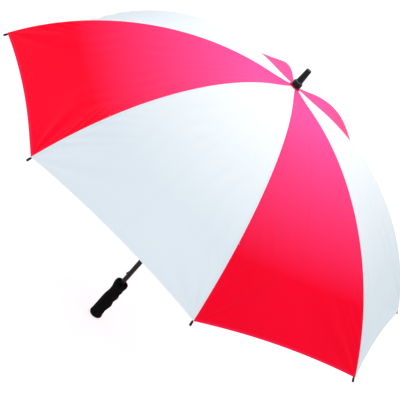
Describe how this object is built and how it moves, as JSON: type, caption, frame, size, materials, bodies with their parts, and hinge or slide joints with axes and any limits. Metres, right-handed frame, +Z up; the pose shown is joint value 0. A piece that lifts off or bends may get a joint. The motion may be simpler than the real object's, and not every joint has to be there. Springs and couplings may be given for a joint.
{
  "type": "golf umbrella",
  "caption": "Open golf umbrella with a panelled red and white canopy, folding ribs and stretchers, a sliding runner on a straight shaft and a foam grip.",
  "frame": {"origin": "centre of the flat end of the handle, on the shaft's axis", "axes": "+Z up the shaft to the ferrule, +X along the first rib, ribs every 45 degrees about Z"},
  "size_m": [1.3056, 1.3056, 0.953],
  "materials": {
    "canopy_red": "satin woven nylon",
    "canopy_white": "satin woven nylon",
    "rib_fibreglass": "satin",
    "stretcher_steel": "satin",
    "black_plastic": "moulded",
    "shaft_black": "satin",
    "handle_foam": "matte foam",
    "bare_steel": "drawn"
  },
  "bodies": {
    "shaft": {"shaft": "shaft_black", "ferrule": "black_plastic", "ferrule_collar": "black_plastic", "canopy_washer": "canopy_red", "top_notch": "black_plastic", "notch_wire": "bare_steel", "runner_stop_pin": "bare_steel", "handle_grip": "handle_foam", "handle_cup": "black_plastic", "handle_plug": "black_plastic"},
    "top_catch": {"top_catch_spring": "bare_steel"},
    "bottom_catch": {"bottom_catch_spring": "bare_steel"},
    "runner": {"runner": "black_plastic", "runner_wire": "bare_steel"},
    "rib_inner_1": {"rib_inner_1": "rib_fibreglass", "canopy_panel_1": "canopy_red"},
    "rib_outer_1": {"rib_outer_1": "rib_fibreglass", "rib_tip_1": "black_plastic"},
    "stretcher_1": {"stretcher_1": "stretcher_steel"},
    "rib_inner_2": {"rib_inner_2": "rib_fibreglass", "canopy_panel_2": "canopy_white"},
    "rib_outer_2": {"rib_outer_2": "rib_fibreglass", "rib_tip_2": "black_plastic"},
    "stretcher_2": {"stretcher_2": "stretcher_steel"},
    "rib_inner_3": {"rib_inner_3": "rib_fibreglass", "canopy_panel_3": "canopy_red"},
    "rib_outer_3": {"rib_outer_3": "rib_fibreglass", "rib_tip_3": "black_plastic"},
    "stretcher_3": {"stretcher_3": "stretcher_steel"},
    "rib_inner_4": {"rib_inner_4": "rib_fibreglass", "canopy_panel_4": "canopy_white", "tie_strap": "canopy_white"},
    "rib_outer_4": {"rib_outer_4": "rib_fibreglass", "rib_tip_4": "black_plastic"},
    "stretcher_4": {"stretcher_4": "stretcher_steel"},
    "rib_inner_5": {"rib_inner_5": "rib_fibreglass", "canopy_panel_5": "canopy_red"},
    "rib_outer_5": {"rib_outer_5": "rib_fibreglass", "rib_tip_5": "black_plastic"},
    "stretcher_5": {"stretcher_5": "stretcher_steel"},
    "rib_inner_6": {"rib_inner_6": "rib_fibreglass", "canopy_panel_6": "canopy_white"},
    "rib_outer_6": {"rib_outer_6": "rib_fibreglass", "rib_tip_6": "black_plastic"},
    "stretcher_6": {"stretcher_6": "stretcher_steel"},
    "rib_inner_7": {"rib_inner_7": "rib_fibreglass", "canopy_panel_7": "canopy_red"},
    "rib_outer_7": {"rib_outer_7": "rib_fibreglass", "rib_tip_7": "black_plastic"},
    "stretcher_7": {"stretcher_7": "stretcher_steel"},
    "rib_inner_8": {"rib_inner_8": "rib_fibreglass", "canopy_panel_8": "canopy_white"},
    "rib_outer_8": {"rib_outer_8": "rib_fibreglass", "rib_tip_8": "black_plastic"},
    "stretcher_8": {"stretcher_8": "stretcher_steel"}
  },
  "joints": [
    {"name": "rib_1_fold", "type": "hinge", "parent": "shaft", "child": "rib_inner_1", "pos_m": [0.012, 0, 0.8863], "axis": [0, 1, 0], "range_deg": [0, 76.89], "deforming": ["canopy_panel_1", "canopy_panel_2", "canopy_panel_3", "canopy_panel_4", "canopy_panel_5", "canopy_panel_6", "canopy_panel_7", "canopy_panel_8", "tie_strap", "top_catch_spring", "bottom_catch_spring"]},
    {"name": "rib_1_flex", "type": "hinge", "parent": "rib_inner_1", "child": "rib_outer_1", "pos_m": [0.34257, 0, 0.81582], "axis": [0, 1, 0], "range_deg": [-27.75, 0]},
    {"name": "stretcher_1_swing", "type": "hinge", "parent": "rib_inner_1", "child": "stretcher_1", "pos_m": [0.33975, 0, 0.80997], "axis": [0, 1, 0], "range_deg": [-153.79, 0]},
    {"name": "rib_2_fold", "type": "hinge", "parent": "shaft", "child": "rib_inner_2", "pos_m": [0.00849, 0.00849, 0.8863], "axis": [-0.7071, 0.7071, 0], "range_deg": [0, 76.89]},
    {"name": "rib_2_flex", "type": "hinge", "parent": "rib_inner_2", "child": "rib_outer_2", "pos_m": [0.24223, 0.24223, 0.81582], "axis": [-0.7071, 0.7071, 0], "range_deg": [-27.75, 0]},
    {"name": "stretcher_2_swing", "type": "hinge", "parent": "rib_inner_2", "child": "stretcher_2", "pos_m": [0.24024, 0.24024, 0.80997], "axis": [-0.7071, 0.7071, 0], "range_deg": [-153.79, 0]},
    {"name": "rib_3_fold", "type": "hinge", "parent": "shaft", "child": "rib_inner_3", "pos_m": [0, 0.012, 0.8863], "axis": [-1, 0, 0], "range_deg": [0, 76.89]},
    {"name": "rib_3_flex", "type": "hinge", "parent": "rib_inner_3", "child": "rib_outer_3", "pos_m": [0, 0.34257, 0.81582], "axis": [-1, 0, 0], "range_deg": [-27.75, 0]},
    {"name": "stretcher_3_swing", "type": "hinge", "parent": "rib_inner_3", "child": "stretcher_3", "pos_m": [0, 0.33975, 0.80997], "axis": [-1, 0, 0], "range_deg": [-153.79, 0]},
    {"name": "rib_4_fold", "type": "hinge", "parent": "shaft", "child": "rib_inner_4", "pos_m": [-0.00849, 0.00849, 0.8863], "axis": [-0.7071, -0.7071, 0], "range_deg": [0, 76.89]},
    {"name": "rib_4_flex", "type": "hinge", "parent": "rib_inner_4", "child": "rib_outer_4", "pos_m": [-0.24223, 0.24223, 0.81582], "axis": [-0.7071, -0.7071, 0], "range_deg": [-27.75, 0]},
    {"name": "stretcher_4_swing", "type": "hinge", "parent": "rib_inner_4", "child": "stretcher_4", "pos_m": [-0.24024, 0.24024, 0.80997], "axis": [-0.7071, -0.7071, 0], "range_deg": [-153.79, 0]},
    {"name": "rib_5_fold", "type": "hinge", "parent": "shaft", "child": "rib_inner_5", "pos_m": [-0.012, 0, 0.8863], "axis": [0, -1, 0], "range_deg": [0, 76.89]},
    {"name": "rib_5_flex", "type": "hinge", "parent": "rib_inner_5", "child": "rib_outer_5", "pos_m": [-0.34257, 0, 0.81582], "axis": [0, -1, 0], "range_deg": [-27.75, 0]},
    {"name": "stretcher_5_swing", "type": "hinge", "parent": "rib_inner_5", "child": "stretcher_5", "pos_m": [-0.33975, 0, 0.80997], "axis": [0, -1, 0], "range_deg": [-153.79, 0]},
    {"name": "rib_6_fold", "type": "hinge", "parent": "shaft", "child": "rib_inner_6", "pos_m": [-0.00849, -0.00849, 0.8863], "axis": [0.7071, -0.7071, 0], "range_deg": [0, 76.89]},
    {"name": "rib_6_flex", "type": "hinge", "parent": "rib_inner_6", "child": "rib_outer_6", "pos_m": [-0.24223, -0.24223, 0.81582], "axis": [0.7071, -0.7071, 0], "range_deg": [-27.75, 0]},
    {"name": "stretcher_6_swing", "type": "hinge", "parent": "rib_inner_6", "child": "stretcher_6", "pos_m": [-0.24024, -0.24024, 0.80997], "axis": [0.7071, -0.7071, 0], "range_deg": [-153.79, 0]},
    {"name": "rib_7_fold", "type": "hinge", "parent": "shaft", "child": "rib_inner_7", "pos_m": [0, -0.012, 0.8863], "axis": [1, 0, 0], "range_deg": [0, 76.89]},
    {"name": "rib_7_flex", "type": "hinge", "parent": "rib_inner_7", "child": "rib_outer_7", "pos_m": [0, -0.34257, 0.81582], "axis": [1, 0, 0], "range_deg": [-27.75, 0]},
    {"name": "stretcher_7_swing", "type": "hinge", "parent": "rib_inner_7", "child": "stretcher_7", "pos_m": [0, -0.33975, 0.80997], "axis": [1, 0, 0], "range_deg": [-153.79, 0]},
    {"name": "rib_8_fold", "type": "hinge", "parent": "shaft", "child": "rib_inner_8", "pos_m": [0.00849, -0.00849, 0.8863], "axis": [0.7071, 0.7071, 0], "range_deg": [0, 76.89]},
    {"name": "rib_8_flex", "type": "hinge", "parent": "rib_inner_8", "child": "rib_outer_8", "pos_m": [0.24223, -0.24223, 0.81582], "axis": [0.7071, 0.7071, 0], "range_deg": [-27.75, 0]},
    {"name": "stretcher_8_swing", "type": "hinge", "parent": "rib_inner_8", "child": "stretcher_8", "pos_m": [0.24024, -0.24024, 0.80997], "axis": [0.7071, 0.7071, 0], "range_deg": [-153.79, 0]},
    {"name": "runner_turn", "type": "hinge", "parent": "stretcher_1", "child": "runner", "pos_m": [0.012, 0, 0.73363], "axis": [0, 1, 0], "range_deg": [0, 76.9]},
    {"name": "top_catch_press", "type": "slide", "parent": "shaft", "child": "top_catch", "axis": [0.9613, -0.2756, 0], "range_m": [0, 0.0032], "stiffness_N_per_m": 800},
    {"name": "bottom_catch_press", "type": "slide", "parent": "shaft", "child": "bottom_catch", "axis": [0.9613, -0.2756, 0], "range_m": [0, 0.0032], "stiffness_N_per_m": 800}
  ],
  "couplings": [
    {"joint": "rib_1_flex", "follows": "rib_1_fold", "ratio": -0.36073},
    {"joint": "stretcher_1_swing", "follows": "rib_1_fold", "ratio": -2},
    {"joint": "rib_2_fold", "follows": "rib_1_fold", "ratio": 1},
    {"joint": "rib_2_flex", "follows": "rib_1_fold", "ratio": -0.36073},
    {"joint": "stretcher_2_swing", "follows": "rib_1_fold", "ratio": -2},
    {"joint": "rib_3_fold", "follows": "rib_1_fold", "ratio": 1},
    {"joint": "rib_3_flex", "follows": "rib_1_fold", "ratio": -0.36073},
    {"joint": "stretcher_3_swing", "follows": "rib_1_fold", "ratio": -2},
    {"joint": "rib_4_fold", "follows": "rib_1_fold", "ratio": 1},
    {"joint": "rib_4_flex", "follows": "rib_1_fold", "ratio": -0.36073},
    {"joint": "stretcher_4_swing", "follows": "rib_1_fold", "ratio": -2},
    {"joint": "rib_5_fold", "follows": "rib_1_fold", "ratio": 1},
    {"joint": "rib_5_flex", "follows": "rib_1_fold", "ratio": -0.36073},
    {"joint": "stretcher_5_swing", "follows": "rib_1_fold", "ratio": -2},
    {"joint": "rib_6_fold", "follows": "rib_1_fold", "ratio": 1},
    {"joint": "rib_6_flex", "follows": "rib_1_fold", "ratio": -0.36073},
    {"joint": "stretcher_6_swing", "follows": "rib_1_fold", "ratio": -2},
    {"joint": "rib_7_fold", "follows": "rib_1_fold", "ratio": 1},
    {"joint": "rib_7_flex", "follows": "rib_1_fold", "ratio": -0.36073},
    {"joint": "stretcher_7_swing", "follows": "rib_1_fold", "ratio": -2},
    {"joint": "rib_8_fold", "follows": "rib_1_fold", "ratio": 1},
    {"joint": "rib_8_flex", "follows": "rib_1_fold", "ratio": -0.36073},
    {"joint": "stretcher_8_swing", "follows": "rib_1_fold", "ratio": -2},
    {"joint": "runner_turn", "follows": "rib_1_fold", "ratio": 1}
  ]
}
